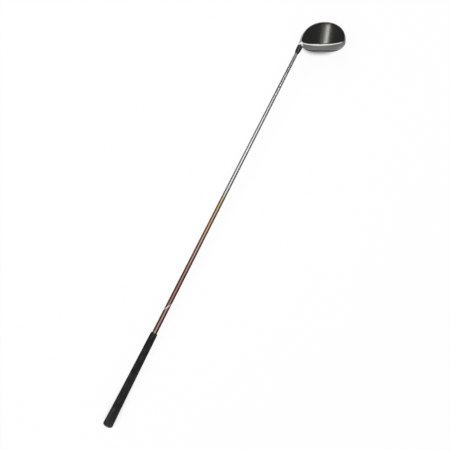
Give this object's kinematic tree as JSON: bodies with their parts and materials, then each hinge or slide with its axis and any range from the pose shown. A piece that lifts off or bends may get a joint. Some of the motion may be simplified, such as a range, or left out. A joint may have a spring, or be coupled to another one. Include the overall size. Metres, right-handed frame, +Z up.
{
  "type": "golf driver",
  "caption": "Adjustable golf driver lying face up: hollow head with composite panels, loft sleeve and weights, tapered shaft and rubber grip",
  "frame": {"origin": "on the floor under the middle of the lying club's bounding box", "axes": "+X from the grip towards the head along the floor, +Y towards the crown side of the head, +Z up, which is where the face looks"},
  "size_m": [1.1898, 0.113, 0.1057],
  "materials": {
    "titanium_shell": "satin, painted white along the face edge",
    "face_alloy": "brushed upright, dark coated",
    "composite_black": "clear gloss over carbon composite",
    "slot_filler": "soft matte",
    "weight_steel": "fine turned",
    "screw_black": "black oxide",
    "sleeve_alloy": "black anodised",
    "ferrule_plastic": "polished",
    "tip_brass": "plain turned",
    "cork": "plain",
    "shaft_composite": "clear lacquer over a fade from silver through gold and copper to deep red",
    "grip_tape": "matte paper tape",
    "grip_rubber": "fine moulded texture"
  },
  "bodies": {
    "head": {"head_body": "titanium_shell", "face_plate": "face_alloy", "crown_panel": "composite_black", "sole_panel_toe": "composite_black", "sole_panel_heel": "composite_black", "slot_insert": "slot_filler", "bolt_washer": "weight_steel", "bolt_retainer": "slot_filler"},
    "shaft_assembly": {"loft_sleeve": "sleeve_alloy", "ferrule": "ferrule_plastic", "tip_weight": "tip_brass", "shaft_cork": "cork", "shaft": "shaft_composite", "grip_tape": "grip_tape", "grip": "grip_rubber", "grip_cap": "grip_rubber"},
    "sleeve_bolt": {"sleeve_bolt": "weight_steel"},
    "rear_weight": {"rear_weight": "weight_steel"},
    "weight_screw": {"weight_screw": "screw_black"},
    "front_weight": {"front_weight": "weight_steel"}
  },
  "joints": [
    {"name": "shaft_release", "type": "slide", "parent": "head", "child": "shaft_assembly", "axis": [-0.9981, 0, -0.0612], "range_m": [0, 0.045]},
    {"name": "bolt_turn", "type": "hinge", "parent": "head", "child": "sleeve_bolt", "pos_m": [0.54571, 0.04285, 0.08334], "axis": [-0.9981, 0, -0.0612], "continuous": true},
    {"name": "rear_weight_release", "type": "slide", "parent": "head", "child": "rear_weight", "axis": [0, 0, -1], "range_m": [0, 0.012]},
    {"name": "weight_screw_turn", "type": "hinge", "parent": "rear_weight", "child": "weight_screw", "pos_m": [0.56104, 0.0056, 0], "axis": [0, 0, -1], "continuous": true},
    {"name": "front_weight_turn", "type": "hinge", "parent": "head", "child": "front_weight", "pos_m": [0.58101, 0.01911, 0.07699], "axis": [-0.8465, -0.5299, -0.0519], "continuous": true}
  ]
}
